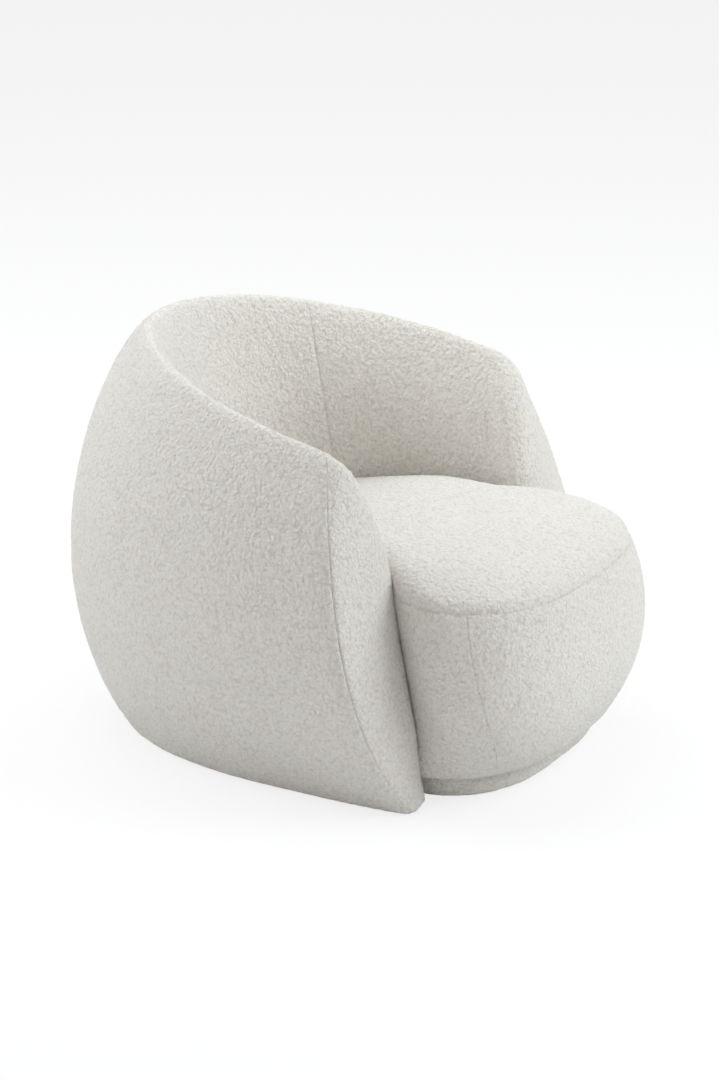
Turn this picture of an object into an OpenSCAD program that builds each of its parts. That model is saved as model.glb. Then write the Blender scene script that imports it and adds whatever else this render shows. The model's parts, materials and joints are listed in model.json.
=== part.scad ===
// Tub chair: a fat padded shell that wraps a round boxed seat on a low set-back plinth.
// Millimetres, +Z up, the front faces -Y, the origin is under the middle of the chair on the floor.

/* [Shell heights] */
// Height of the crest at the middle of the back
back_h = 700; // [660:5:740]
// Height of the crest at the arm fronts
arm_h = 604; // [580:5:630]
// Height of the cover hem above the floor
hem_z = 3; // [2:0.5:5]

/* [Shell plan] */
// Half width across the crest line
crest_half_w = 313; // [300:1:330]
// Place of the crest line at the middle of the back
crest_back_y = 365; // [345:1:385]
// Where the back's round plan runs into the arms
turn_y = -76; // [-100:1:-60]
// Radius that draws the arms in towards the front
arm_curve = 870; // [800:10:1000]
// Roundness of the plan at the floor, 2 is an ellipse
plan_power_low = 2.49; // [2.2:0.01:2.8]
// Roundness of the plan at the crest
plan_power_top = 1.96; // [1.9:0.01:2.3]

/* [Arm fronts] */
// Foot of the arm front
arm_foot_y = -316; // [-330:1:-300]
// Lower control of the arm front's rake
arm_low_y = -239; // [-255:1:-225]
// Upper control of the arm front's rake
arm_high_y = -210; // [-225:1:-195]
// Top corner of the arm front
arm_top_y = -139; // [-150:1:-125]
// How far the arm front's panel swells
front_swell = 12; // [6:1:16]

/* [Rim] */
// Half width of the rolled rim at the middle of the back
rim_back = 49; // [40:1:56]
// Half width of the rolled rim at the arm fronts
rim_arm = 26; // [20:1:30]

/* [Outer swell] */
// Side: how far the foot stands outside the crest line
side_out_foot = 39; // [34:1:48]
// Side: lower control of the swell
side_out_low = 157; // [145:1:170]
// Side: upper control of the swell
side_out_high = 93; // [85:1:105]
// Back: how far the foot stands outside the crest line
back_out_foot = 30; // [24:1:40]
// Back: lower control of the swell
back_out_low = 175; // [165:1:190]
// Back: upper control of the swell
back_out_high = 114; // [104:1:124]

/* [Inner swell] */
// Side: how far the inner foot stands inside the crest line
side_in_foot = 15; // [11:1:22]
// Side: lower control of the inner swell
side_in_low = 47; // [40:1:56]
// Side: upper control of the inner swell
side_in_high = 91; // [82:1:100]
// Back: how far the inner foot stands inside the crest line
back_in_foot = 174; // [160:1:184]
// Back: lower control of the recline
back_in_low = 144; // [134:1:154]
// Back: upper control of the recline
back_in_high = 100; // [92:1:110]

/* [Seat] */
// Half width of the seat at its widest
seat_half_w = 297; // [288:1:306]
// From the widest place to the front of the seat
seat_front_len = 270; // [255:1:285]
// Where the seat is widest
seat_mid_y = -210; // [-212:1:-200]
// Roundness of the seat's front in plan
seat_power = 2.91; // [2.5:0.01:3.2]
// Height of the seam between the top panel and the band
seat_seam_z = 352; // [340:1:362]
// Rise of the crown above the seam, in the middle of the seat
seat_crown = 60; // [48:1:66]
// Rise of the crown at the back of the seat, where it falls away between the inner pads
seat_crown_back = 16; // [12:1:30]
// Swell of the band at half height
seat_bulge = 26; // [18:1:32]
// How far the band tucks in at its foot
seat_tuck = 31; // [24:1:38]
// Length over which the seat widens in front of the arms
neck_len = 150; // [120:5:180]
// Gap between the seat and the shell
seat_gap = 1; // [0.5:0.25:3]

/* [Plinth] */
// Set-back of the plinth under the seat
plinth_inset = 30; // [22:1:38]
// Thickness of each plinth board
plinth_board_t = 18; // [15:1:19]
// Width of the plinth ring boards
plinth_ring_w = 90; // [70:5:110]

/* [Upholstery] */
// Thickness of the looped cover cloth
cover_t = 4; // [3:0.5:5]
// Padding of the outer side, cover included
outer_pad = 24; // [20:1:30]
// Padding of the inner side, cover included
inner_pad = 45; // [38:1:50]
// Padding at the foot of both sides, cover included
foot_pad = 9; // [8:0.5:10]
// Foam behind the arm front's panel
front_foam_t = 16; // [12:1:20]
// Padding round the seat box, cover included
band_pad = 34; // [28:1:40]

/* [Frame] */
// Plywood of ribs and rails
ply_t = 18; // [15:1:20]
// Fibreboard liner
liner_t = 3; // [2.5:0.5:4]
// Height of the seat rail that joins the ribs
mid_rail_z = 230; // [200:5:260]
// Width of the seat rail
mid_rail_w = 50; // [40:2:60]
// Height of the seat box above its base plate
seat_box_h = 170; // [150:5:185]
// Width of the seat box's ring plates
seat_ring_w = 75; // [60:5:90]
// Width of the elastic webbing
web_w = 50; // [40:5:60]
// Thickness of the elastic webbing
web_t = 1.5; // [1:0.25:2]

/* [Fittings] */
// Height of the glides
glide_h = 6; // [5:1:8]
// Radius of the glides
glide_r = 14; // [11:1:17]
// Radius of the screw shanks
screw_r = 2; // [1.5:0.25:2.5]
// Radius of the screw heads
screw_head_r = 4; // [3.5:0.25:5]
// Thickness of the steel joining plates
plate_t = 2.5; // [2:0.25:3]
// Width of the steel joining plates
plate_w = 40; // [30:2:50]

/* [Hidden] */

// Clearance between pieces that lie on each other
fit = 0.3;
// Clearance of the ribs inside the liners
rib_fit = 2.2;
// Overrun of a cut past a face
over = 1;
// How squarely the rolled rim turns over the crest
rim_power = 10;
// Step for the slope of a section
slope_step = 0.01;
// Height of the inner cover's and the plinth cover's hem, above the joining plates
inner_hem_z = 7;
// Columns of the shell from the middle of the back to the arm front
cols = 12;
// Section cut beside the crest seam
crest_cut_share = 0.004;
// Level of the top rail as a share of the crest height
top_rail_share = 0.78;
// Section cuts between the crest and the top rail, and levels between the top rail and the hem
rim_cut_shares = [0, 0.19, 0.4, 0.68];
wall_level_shares = [1, 0.8, 0.6, 0.4, 0.22, 0.09];
// Share of the height over which the padding grows to its full thickness
pad_ramp_share = 0.4;
// Where the inner cover's side seams lie, as a share round the plan
inner_seam_share = 0.5;
// Half a seam between two panels of cloth, as a share round the plan
seam_fit_share = 0.0006;
// Exponent of the crown's curve
crown_power = 2.6;

fall_rate = (back_h - arm_h) / (crest_back_y - arm_top_y);
seat_bottom_z = glide_h + 2 * plinth_board_t;
foot_z = glide_h;
last_u = 1 - 1 / cols;
cover_in = cover_t + fit;

side_out = [side_out_foot, side_out_low, side_out_high, 0];
side_in = [side_in_foot, side_in_low, side_in_high, 0];
back_out = [back_out_foot, back_out_low, back_out_high, 0];
back_in = [back_in_foot, back_in_low, back_in_high, 0];

function mix(a, b, k) = a + (b - a) * k;
function clamp1(k) = min(1, max(0, k));
function ease(k) = let (c = clamp1(k)) c * c * (3 - 2 * c);
function bez(c, t) = c[0] * pow(1 - t, 3) + 3 * c[1] * t * pow(1 - t, 2)
    + 3 * c[2] * t * t * (1 - t) + c[3] * pow(t, 3);
function steps(a, b, n) = [for (i = [0 : n]) a + (b - a) * i / n];
function rev(a) = [for (i = [len(a) - 1 : -1 : 0]) a[i]];

// Height of the crest over a place y, a plane that falls to the front
function crest_z(y) = back_h - fall_rate * (crest_back_y - y);
// Place of the arm front at level t, from 0 at the floor to 1 at the crest
function front_y(t) = bez([arm_foot_y, arm_low_y, arm_high_y, arm_top_y], t);
function plan_power(t) = mix(plan_power_low, plan_power_top, t);
function rim(u) = mix(rim_back, rim_arm, u);
// Plan angle that the arm front reaches
function reach(t) = 90 + asin((turn_y - front_y(t)) / arm_curve);

// Section of the shell: w runs from -1 at the outer foot over 0 at the crest to 1 at the inner foot
function level(w) = cos(90 * w);
function w_at(t) = acos(t) / 90;
function sect(w, u, out, in) =
    let (t = level(w), c = w < 0 ? out : in)
    (w < 0 ? 1 : -1) * (bez(c, t) + rim(u) * t) * sqrt(max(0, 1 - pow(t, rim_power)));
// The same section moved square to itself into the shell by d: offset from the crest and drop
function sect_in(w, u, d, out, in) =
    let (a = w - slope_step, b = w + slope_step,
        de = sect(b, u, out, in) - sect(a, u, out, in),
        dz = (level(b) - level(a)) * back_h,
        l = norm([de, dz]))
    [sect(w, u, out, in) - d * dz / l, d * de / l];
// Plan of one level: half width a, half length b and the angle phi round it
function plan(a, b, n, phi) = phi <= 90
    ? [a * pow(sin(phi), 2 / n), turn_y + b * pow(max(0, cos(phi)), 2 / n)]
    : [a * cos(phi - 90), turn_y - arm_curve * sin(phi - 90)];
function mirrored(p, s) = s < 0 ? [-p[0], p[1], p[2]] : p;

// Point of the shell's surface, d inside it, u from -1 to 1 round the plan
function shell_pt(w, u, d = 0) =
    let (v = abs(u), t = level(w),
        s = sect_in(w, v, d, side_out, side_in),
        b = sect_in(w, v, d, back_out, back_in),
        phi = v * reach(t),
        p = plan(crest_half_w + s[0], crest_back_y - turn_y + b[0], plan_power(t), phi),
        k = pow(max(0, cos(min(phi, 90))), 2))
    mirrored([p[0], p[1], t * crest_z(p[1]) + mix(s[1], b[1], k)], u);
// Point of a wall inside the shell at level t, d inside the outer side (-1) or the inner side (1)
function wall_pt(side, t, u, d) =
    let (v = abs(u), w = side * w_at(t),
        s = sect(w, v, side_out, side_in) + side * d,
        b = sect(w, v, back_out, back_in) + side * d,
        p = plan(crest_half_w + s, crest_back_y - turn_y + b, plan_power(t), v * reach(t)))
    mirrored([p[0], p[1], t * crest_z(p[1])], u);

// Padding on the outer side (-1) and the inner side (1) at level t
function pad(side, t) = mix(foot_pad, side < 0 ? outer_pad : inner_pad, ease(t / pad_ramp_share));

// Front face of the raked boards that stand in the arm fronts
front_board_in = cover_in + front_foam_t + fit;
board_slope = (arm_top_y - arm_foot_y) / arm_h;
board_tilt = atan(board_slope);
board_back = ply_t / cos(board_tilt);
front_bow = 8;
board_foot_y = arm_foot_y + front_board_in + front_bow;
function board_y(z) = board_foot_y + board_slope * z;
// Point p pulled along the arm towards q, either by f or until it is g behind the board's face
function set_back(p, q, f) = mix(p, q, f / (q[1] - p[1]));
function trimmed(p, q, g) = mix(p, q,
    (board_y(p[2]) + g - p[1]) / (q[1] - p[1] - board_slope * (q[2] - p[2])));
function shell_cut(w, u, d, g) = abs(u) < 1 ? shell_pt(w, u, d)
    : trimmed(shell_pt(w, u, d), shell_pt(w, u * last_u, d), g);
function wall_cut(side, t, u, d, g) = abs(u) < 1 || is_undef(g) ? wall_pt(side, t, u, d)
    : trimmed(wall_pt(side, t, u, d), wall_pt(side, t, u * last_u, d), g);

// Rows that every layer of the shell shares, so that their facets lie flat on each other
function hem(side) = side < 0 ? hem_z : inner_hem_z;
rail_w = w_at(top_rail_share);
function wall_levels(side) = concat([for (k = wall_level_shares) top_rail_share * k], [hem(side) / back_h]);
function rim_cuts() = [for (k = rim_cut_shares) mix(crest_cut_share, rail_w, k)];
function cuts(side) = concat(rim_cuts(), [for (t = wall_levels(side)) w_at(t)]);
half_us = steps(0, 1, cols);
all_us = steps(-1, 1, 2 * cols);

// Points of one column of a wall, and the place on it at the height z
function wall_row(side, u, add, g, padded = 1) =
    [for (t = wall_levels(side)) wall_cut(side, t, u, padded * pad(side, t) + add, g)];
function on_row(row, z) =
    let (n = len(row), k = [for (i = [1 : n - 1]) if (row[i][2] <= z || i == n - 1) i][0],
        p = mix(row[k], row[k - 1], (z - row[k][2]) / (row[k - 1][2] - row[k][2])))
    [p[0], p[1]];
function wall_at(side, z, u, add, g) = on_row(wall_row(side, u, add, g), z);

// Two triangles for a quad, cut along either diagonal so that both halves of the chair match
function quad(a, b, c, d, flip) = flip ? [[a, b, d], [b, c, d]] : [[a, b, c], [a, c, d]];

// Solid between an outer and an inner grid of points of the same size
module slab(a, b, fold = 0, swap = false) {
    m = len(a);
    n = len(a[0]);
    s = m * n;
    faces = concat(
        [for (i = [0 : m - 2], j = [0 : n - 2])
            each quad((i + 1) * n + j, (i + 1) * n + j + 1, i * n + j + 1, i * n + j, (j < fold) != swap)],
        [for (i = [0 : m - 2], j = [0 : n - 2])
            each quad(s + i * n + j, s + i * n + j + 1, s + (i + 1) * n + j + 1, s + (i + 1) * n + j,
                (j < fold) == swap)],
        [for (i = [0 : m - 2]) each quad(s + i * n, s + (i + 1) * n, (i + 1) * n, i * n, false)],
        [for (i = [1 : m - 1]) each quad(i * n + n - 1, s + i * n + n - 1,
            s + i * n - 1, i * n - 1, false)],
        [for (j = [0 : n - 2]) each quad(s + j + 1, s + j, j, j + 1, false)],
        [for (j = [0 : n - 2]) each quad(s - n + j, 2 * s - n + j, 2 * s - n + j + 1, s - n + j + 1, false)]);
    polyhedron(points = concat([for (r = a) each r], [for (r = b) each r]), faces = faces, convexity = 8);
}

// Solid through a row of closed loops, capped at both ends or joined end to end
module loft(loops, joined = false) {
    m = len(loops);
    n = len(loops[0]);
    last = joined ? m - 1 : m - 2;
    sides = [for (i = [0 : last], j = [0 : n - 1])
        let (k = (i + 1) % m, q = (j + 1) % n)
        each quad(k * n + j, k * n + q, i * n + q, i * n + j, j < n / 2)];
    caps = joined ? [] : [[for (j = [0 : n - 1]) j], [for (j = [n - 1 : -1 : 0]) (m - 1) * n + j]];
    polyhedron(points = [for (r = loops) each r], faces = concat(sides, caps), convexity = 8);
}

// Flat board with the outline pts between two heights
module board(pts, z, h) {
    translate([0, 0, z]) linear_extrude(h) polygon(pts);
}

// Covers of the shell

module cover_panel(side, us, fold = 0) {
    turned = side < 0 ? us : rev(us);
    slab([for (w = cuts(side)) [for (u = turned) shell_pt(side * w, u)]],
        [for (w = cuts(side)) [for (u = turned) shell_pt(side * w, u, cover_t)]], fold);
}
arm_us = [for (u = half_us) if (u > inner_seam_share - seam_fit_share)
    u < inner_seam_share + seam_fit_share ? inner_seam_share + seam_fit_share : u];
back_us = [for (u = all_us) if (abs(u) < inner_seam_share + seam_fit_share)
    abs(u) > inner_seam_share - seam_fit_share ? u * (1 - seam_fit_share / inner_seam_share) : u];
outer_us = [for (u = half_us) max(u, seam_fit_share)];

module outer_cover_right() {
    color("gainsboro") cover_panel(-1, outer_us);
}
module outer_cover_left() {
    mirror([1, 0, 0]) outer_cover_right();
}
module inner_cover_right() {
    color("whitesmoke") cover_panel(1, arm_us, cols);
}
module inner_cover_left() {
    mirror([1, 0, 0]) inner_cover_right();
}
module inner_cover_back() {
    color("whitesmoke") cover_panel(1, back_us, (len(back_us) - 1) / 2);
}

// Arm fronts: a leaf between the two covers

leaf_cuts = [for (w = cuts(-1)) if (w > crest_cut_share) w];
leaf_cols = steps(-1, 1, 4);

// Point of the leaf at the cut w, c from -1 at the outer edge to 1 at the inner edge
function leaf_edge(w, f, g) =
    let (p = shell_pt(w, 1, cover_in), q = shell_pt(w, last_u, cover_in))
    is_undef(g) ? set_back(p, q, f) : trimmed(p, q, g);
function leaf_pt(w, c, swell, f, g) =
    let (a = leaf_edge(-w, f, g), b = leaf_edge(w, f, g), p = mix(a, b, (c + 1) / 2))
    p - [0, swell * (1 - c * c) * clamp1(norm(a - b) / outer_pad / 2), 0];
function leaf_grid(swell, f, g) = [for (w = leaf_cuts) [for (c = leaf_cols) leaf_pt(w, c, swell, f, g)]];
module arm_front_cover_right() {
    color("gainsboro") slab(leaf_grid(front_swell, 0), leaf_grid(front_swell, cover_t));
}
module arm_front_cover_left() {
    mirror([1, 0, 0]) arm_front_cover_right();
}
module arm_front_foam_right() {
    color("khaki") slab(leaf_grid(front_swell, cover_in), leaf_grid(0, 0, -fit));
}
module arm_front_foam_left() {
    mirror([1, 0, 0]) arm_front_foam_right();
}

// Foam of the shell, from the cover to the liner and up over the top rail

function foam_back(side, w, u) =
    let (t = level(w), e = wall_pt(side, top_rail_share, u, pad(side, top_rail_share)),
        m = shell_pt(side * crest_cut_share, u),
        k = (w - crest_cut_share) / (rail_w - crest_cut_share), y = mix(m[1], e[1], k))
    w < rail_w ? [mix(m[0], e[0], k), y, top_rail_share * crest_z(y)] : wall_pt(side, t, u, pad(side, t));
function foam_inside(side, w, u) = abs(u) < 1 ? foam_back(side, w, u)
    : trimmed(foam_back(side, w, u), foam_back(side, w, u * last_u), 0);
module shell_foam(side) {
    turned = side < 0 ? all_us : rev(all_us);
    slab([for (w = cuts(side)) [for (u = turned) shell_cut(side * w, u, cover_in, 0)]],
        [for (w = cuts(side)) [for (u = turned) foam_inside(side, w, u)]], cols);
}
module outer_foam() {
    color("khaki") shell_foam(-1);
}
module inner_foam() {
    color("khaki") shell_foam(1);
}

// Liners and webbing of the shell

function liner_levels(side) = [for (t = wall_levels(side)) min(t, top_rail_share - fit / back_h)];
module liner(side, us, fold = 0) {
    turned = side < 0 ? us : rev(us);
    slab([for (t = liner_levels(side)) [for (u = turned) wall_cut(side, t, u, pad(side, t) + fit, 0)]],
        [for (t = liner_levels(side)) [for (u = turned) wall_cut(side, t, u, pad(side, t) + fit + liner_t, 0)]],
        fold);
}
module outer_liner() {
    color("burlywood") liner(-1, all_us, cols);
}
module arm_liner_right() {
    color("burlywood") liner(1, arm_us, cols);
}
module arm_liner_left() {
    mirror([1, 0, 0]) arm_liner_right();
}

// Each elastic band lies on the foam between two of its rows, over this part of the way
web_share = 0.46;
web_rows = [0 : 3];
function web_line(i, k, us, add) = [for (u = us)
    let (row = wall_row(1, u, add)) mix(row[i], row[i + 1], k)];
module back_webbing() {
    us = rev(back_us);
    ks = [(1 - web_share) / 2, (1 + web_share) / 2];
    color("dimgray") for (i = web_rows)
        slab([for (k = ks) web_line(i, k, us, fit)], [for (k = ks) web_line(i, k, us, fit + web_t)],
            (len(us) - 1) / 2);
}

// Frame of the shell: three bent rails and seven ribs

frame_fit = 0.75;
frame_in = liner_t + frame_fit;
rail_end = board_back + fit + board_slope * ply_t;
function whole(pts) = concat([for (p = rev(pts)) if (p[0] > 0) [-p[0], p[1]]], pts);
function u_strip(edge_in, edge_out) = concat(whole(edge_in), rev(whole(edge_out)));

// Edge of a flat rail that stays clear of a leaning wall over the rail's whole thickness
function rail_edge(side, z, add) = [for (u = half_us)
    let (p = wall_at(side, z, u, add, rail_end), q = wall_at(side, z + ply_t, u, add, rail_end),
        r = norm(p - [0, turn_y]) - norm(q - [0, turn_y]))
    side * r > 0 ? p : q];

module base_rail() {
    color("tan") board(u_strip(rail_edge(1, foot_z, frame_in), rail_edge(-1, foot_z, frame_in)), foot_z, ply_t);
}
module seat_rail() {
    color("tan") board(u_strip(rail_edge(1, mid_rail_z, frame_in), rail_edge(1, mid_rail_z, frame_in + mid_rail_w)),
        mid_rail_z, ply_t);
}
top_tilt = atan(top_rail_share * fall_rate);
function top_edge(side) = [for (u = half_us)
    let (p = wall_cut(side, top_rail_share, u, pad(side, top_rail_share) + frame_in, board_back + fit))
    [p[0], p[1] / cos(top_tilt)]];
module top_rail() {
    color("tan") translate([0, 0, top_rail_share * crest_z(0)]) rotate([top_tilt, 0, 0])
        board(u_strip(top_edge(1), top_edge(-1)), -ply_t - fit, ply_t);
}
function top_under(y) = top_rail_share * crest_z(y) - (ply_t + 2 * fit) / cos(top_tilt);

// Where the plane of a rib, at the plan angle az through the place cy of the middle line, meets a wall
function rib_cross(side, t, az, cy) =
    let (row = [for (u = half_us) wall_pt(side, t, u, pad(side, t) + liner_t + rib_fit)],
        s = [for (p = row) p[0] * cos(az) - (p[1] - cy) * sin(az)],
        k = az == 0 ? 1 : [for (i = [1 : cols]) if (s[i] >= 0) i][0],
        p = mix(row[k - 1], row[k], -s[k - 1] / (s[k] - s[k - 1])))
    [norm([p[0], p[1] - cy]), p[2]];
function rib_edge(side, az, cy) = [for (t = wall_levels(side)) rib_cross(side, t, az, cy)];
function flipped(pts) = [for (p = pts) [p[1], p[0]]];

rib_z0 = foot_z + ply_t + fit;
rib_hole_share = 0.27;
notch_spare = 8;
module rib(az, cy) {
    out = rib_edge(-1, az, cy);
    in = rib_edge(1, az, cy);
    far = back_h;
    drop = ply_t / 2 * tan(top_tilt) * sin(az);
    top_in = top_under(cy) - drop;
    top_out = top_under(cy + far * cos(az)) - drop;
    mid_top = mid_rail_z + ply_t;
    top_z = min(in[0][1], out[0][1]) - ply_t;
    hole_zs = [mix(rib_z0, mid_rail_z, 1 / 2), mix(mid_top, top_z, 1 / 4), mix(mid_top, top_z, 3 / 4)];
    notch_r = lookup(mid_rail_z, flipped(in));
    translate([0, cy, 0]) rotate([90, 0, 90 - az]) translate([0, 0, -ply_t / 2]) linear_extrude(ply_t)
        difference() {
            intersection() {
                polygon(concat(out, rev(in)));
                polygon([[0, rib_z0], [far, rib_z0], [far, top_out], [0, top_in]]);
            }
            for (z = hole_zs) {
                a = lookup(z, flipped(in));
                b = lookup(z, flipped(out));
                translate([(a + b) / 2, z]) circle(r = min((b - a) * rib_hole_share, mid_rail_w), $fn = 48);
            }
            translate([notch_r - mid_rail_w, mid_rail_z - fit])
                square([2 * mid_rail_w + notch_spare, ply_t + 2 * fit]);
        }
}
// Plan angles of the ribs and where their planes cross the middle line, square to the wall
rib_back_az = 32;
rib_back_cy = 44;
rib_corner_az = 62;
rib_corner_cy = 4;
module rib_back_middle() {
    color("tan") rib(0, turn_y);
}
module rib_back_right() {
    color("tan") rib(rib_back_az, rib_back_cy);
}
module rib_back_left() {
    mirror([1, 0, 0]) rib_back_right();
}
module rib_corner_right() {
    color("tan") rib(rib_corner_az, rib_corner_cy);
}
module rib_corner_left() {
    mirror([1, 0, 0]) rib_corner_right();
}
module rib_side_right() {
    color("tan") rib(90, turn_y);
}
module rib_side_left() {
    mirror([1, 0, 0]) rib_side_right();
}

// Raked plywood front of each arm, drawn in its own plane
board_hole_shares = [0.42, 0.68];
function on_board(p) = [p[0], (p[1] - board_foot_y) * sin(board_tilt) + p[2] * cos(board_tilt)];
board_in = liner_t + rib_fit;
board_edge_out = [for (p = wall_row(-1, 1, board_in, 0)) on_board(p)];
board_edge_in = [for (p = wall_row(1, 1, board_in, board_back)) on_board(p)];
board_v0 = (foot_z + ply_t * sin(board_tilt)) / cos(board_tilt);
board_v1 = (top_rail_share * crest_z(board_foot_y) / (1 - top_rail_share * fall_rate * board_slope)
    - 2 * fit) / cos(board_tilt);
module arm_front_board_right() {
    color("tan") translate([0, board_foot_y, 0]) rotate([90 - board_tilt, 0, 0])
        translate([0, 0, -ply_t]) linear_extrude(ply_t) difference() {
            intersection() {
                polygon(concat(board_edge_out, rev(board_edge_in)));
                translate([0, board_v0]) square([back_h, board_v1 - board_v0]);
            }
            for (k = board_hole_shares) {
                v = k * board_v1;
                a = lookup(v, flipped(board_edge_in));
                b = lookup(v, flipped(board_edge_out));
                translate([(a + b) / 2, v]) circle(r = (b - a) * rib_hole_share, $fn = 48);
            }
        }
}
module arm_front_board_left() {
    mirror([1, 0, 0]) arm_front_board_right();
}

// Seat: every layer follows one ring that keeps to the shell between the arms and swells in front of them

front_count = 10;
function band_off(z) = let (h = clamp1((z - seat_bottom_z) / (seat_seam_z - seat_bottom_z)))
    seat_bulge * 4 * h * (1 - h) - seat_tuck * pow(1 - h, 2.5);
function tighter(p, q) = [min(p[0], q[0]), min(p[1], q[1])];
function half_ring(z, inset, wall_z) =
    let (a = seat_half_w + band_off(z) - inset, b = seat_front_len + band_off(z) - inset,
        row = [for (u = half_us) let (r = wall_row(1, u, -seat_gap - inset, undef, 0))
            tighter(on_row(r, z), on_row(r, wall_z))],
        corner = row[cols], yf = corner[1],
        last = acos(pow(clamp1((seat_mid_y - yf) / b), seat_power / 2)))
    concat(row, [for (k = steps(1, 0, front_count)) if (k < 1)
        let (x = a * pow(sin(last * k), 2 / seat_power),
            y = seat_mid_y - b * pow(cos(last * k), 2 / seat_power))
        [mix(corner[0], x, 1 - pow(1 - clamp1((yf - y) / neck_len), 2)), y]]);
function ring(z, inset = 0, wall_z) = let (h = half_ring(z, inset, is_undef(wall_z) ? z : wall_z), n = len(h))
    concat(h, [for (i = [n - 2 : -1 : 1]) [-h[i][0], h[i][1]]]);
function lift(pts, z) = [for (p = pts) [p[0], p[1], z]];
ring_mid = [0, (crest_back_y - back_in_low + seat_mid_y - seat_front_len) / 2];
function shrunk(pts, in) = [for (p = pts) mix(ring_mid, p, 1 - in / seat_half_w)];
// Rise of the crown at this depth of the seat, level inside its first ring and lower to the back
function crown_rise(y) = mix(seat_crown, seat_crown_back,
    ease((y - ring_mid[1]) / (crest_back_y - back_in_low - ring_mid[1]) - crown_shares[0]));
// Ring of the crown, r from 1 at the seam to 0 in the middle, d below the cover's face
function crown_ring(r, d) = [for (q = ring(seat_seam_z, d)) let (p = mix(ring_mid, q, r))
    [p[0], p[1], seat_seam_z + (crown_rise(p[1]) - d) * sqrt(1 - pow(r, crown_power))]];

crown_shares = [0.12, 0.35, 0.56, 0.74, 0.88, 0.96, 1];
module seat_top_cover() {
    color("white") loft(concat([for (r = crown_shares) crown_ring(r, 0)],
        [for (r = rev(crown_shares)) crown_ring(r, cover_t)]));
}

// Rows of the band, shared by the cloth and the foam behind it
seat_low_z = seat_bottom_z + fit;
band_top_z = seat_seam_z - fit;
box_top_z = seat_bottom_z + ply_t + seat_box_h;
web_z = box_top_z + fit;
core_z0 = web_z + 2 * web_t + 2 * fit;
core_split_share = 0.75;
core_z1 = mix(core_z0, seat_seam_z, core_split_share);
low_zs = steps(seat_low_z, box_top_z, 4);
core_zs = steps(core_z0, core_z1, 2);
band_zs = concat(low_zs, core_zs, [band_top_z]);
// Ring places of the band's seams: behind the arm corners and at the front corners
side_seam_share = 0.75;
front_seam_share = 0.6;
side_seam_i = round(cols * side_seam_share);
front_seam_i = cols + round(front_count * front_seam_share);
ring_n = 2 * (cols + front_count);
seam_cut_share = 0.008;
function arc(pts, i0, i1) =
    let (raw = [for (i = [i0 : i1]) pts[i % len(pts)]], m = len(raw) - 1)
    [for (i = [0 : m]) i == 0 ? mix(raw[0], raw[1], seam_cut_share)
        : i == m ? mix(raw[m], raw[m - 1], seam_cut_share) : raw[i]];
module band(i0, i1, fold = 0, swap = false) {
    slab([for (z = rev(band_zs)) lift(arc(ring(z), i0, i1), z)],
        [for (z = rev(band_zs)) lift(arc(ring(z, cover_t), i0, i1), z)], fold, swap);
}
module seat_band_right() {
    color("gainsboro") band(side_seam_i, front_seam_i, ring_n);
}
module seat_band_left() {
    mirror([1, 0, 0]) seat_band_right();
}
module seat_band_front() {
    color("gainsboro") band(front_seam_i, ring_n - front_seam_i, ring_n / 2 - front_seam_i);
}
module seat_band_back() {
    color("silver") band(ring_n - side_seam_i, ring_n + side_seam_i, side_seam_i, true);
}

module seat_foam_core() {
    color("khaki") loft([for (z = rev(core_zs)) lift(ring(z, cover_in), z)]);
}
module seat_topper() {
    color("lightyellow") loft(concat([for (r = crown_shares) crown_ring(r, cover_in)],
        [for (z = [band_top_z - fit, core_z1 + fit]) lift(ring(z, cover_in), z)]));
}

// Seat box: two ring plates on posts with a bent board round them
box_ring = ring(seat_bottom_z, band_pad - seat_tuck + ply_t, box_top_z);
post_w = 40;
module seat_ring_plate(z) {
    translate([0, 0, z]) linear_extrude(ply_t) difference() {
        polygon(shrunk(box_ring, liner_t + fit));
        polygon(shrunk(box_ring, seat_ring_w));
    }
}
module seat_base_plate() {
    color("tan") seat_ring_plate(seat_low_z);
}
module seat_top_ring() {
    color("tan") seat_ring_plate(box_top_z - ply_t);
}
module seat_skirt_board() {
    color("burlywood") translate([0, 0, seat_low_z]) linear_extrude(box_top_z - seat_low_z) difference() {
        polygon(box_ring);
        polygon(shrunk(box_ring, liner_t));
    }
}
// Posts, as shares of the way round the ring from the middle of the back
post_shares = [0, 0.135, 0.25, 0.34, 0.455, 0.545, 0.66, 0.75, 0.865];
function ring_place(pts, share) = pts[round(share * len(pts))];
module seat_posts() {
    z0 = seat_low_z + ply_t + fit;
    mids = shrunk(box_ring, seat_ring_w / 2 + liner_t);
    color("tan") for (k = post_shares)
        translate([ring_place(mids, k)[0] - post_w / 2, ring_place(mids, k)[1] - post_w / 2, z0])
            cube([post_w, post_w, box_top_z - ply_t - fit - z0]);
}
module seat_band_pad() {
    color("khaki") loft(concat([for (z = rev(low_zs)) lift(ring(z, cover_in), z)],
        [for (z = low_zs) lift(shrunk(box_ring, -fit), z)]), joined = true);
}

// Elastic webbing over the seat box
web_gap = 30;
// Share of the ring's width that the webbing lies on
web_hold_share = 0.25;
module web_clip(z) {
    intersection() {
        children();
        board(shrunk(box_ring, liner_t + seat_ring_w * web_hold_share), z - over, web_t + 2 * over);
    }
}
module seat_webbing_long() {
    color("dimgray") web_clip(web_z) for (i = [-2 : 2])
        translate([i * (web_w + web_gap) - web_w / 2, -back_h, web_z]) cube([web_w, 2 * back_h, web_t]);
}
module seat_webbing_cross() {
    z = web_z + web_t + fit;
    color("dimgray") web_clip(z) for (i = [-3 : 2])
        translate([-back_h, ring_mid[1] + i * (web_w + web_gap), z]) cube([2 * back_h, web_w, web_t]);
}

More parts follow.
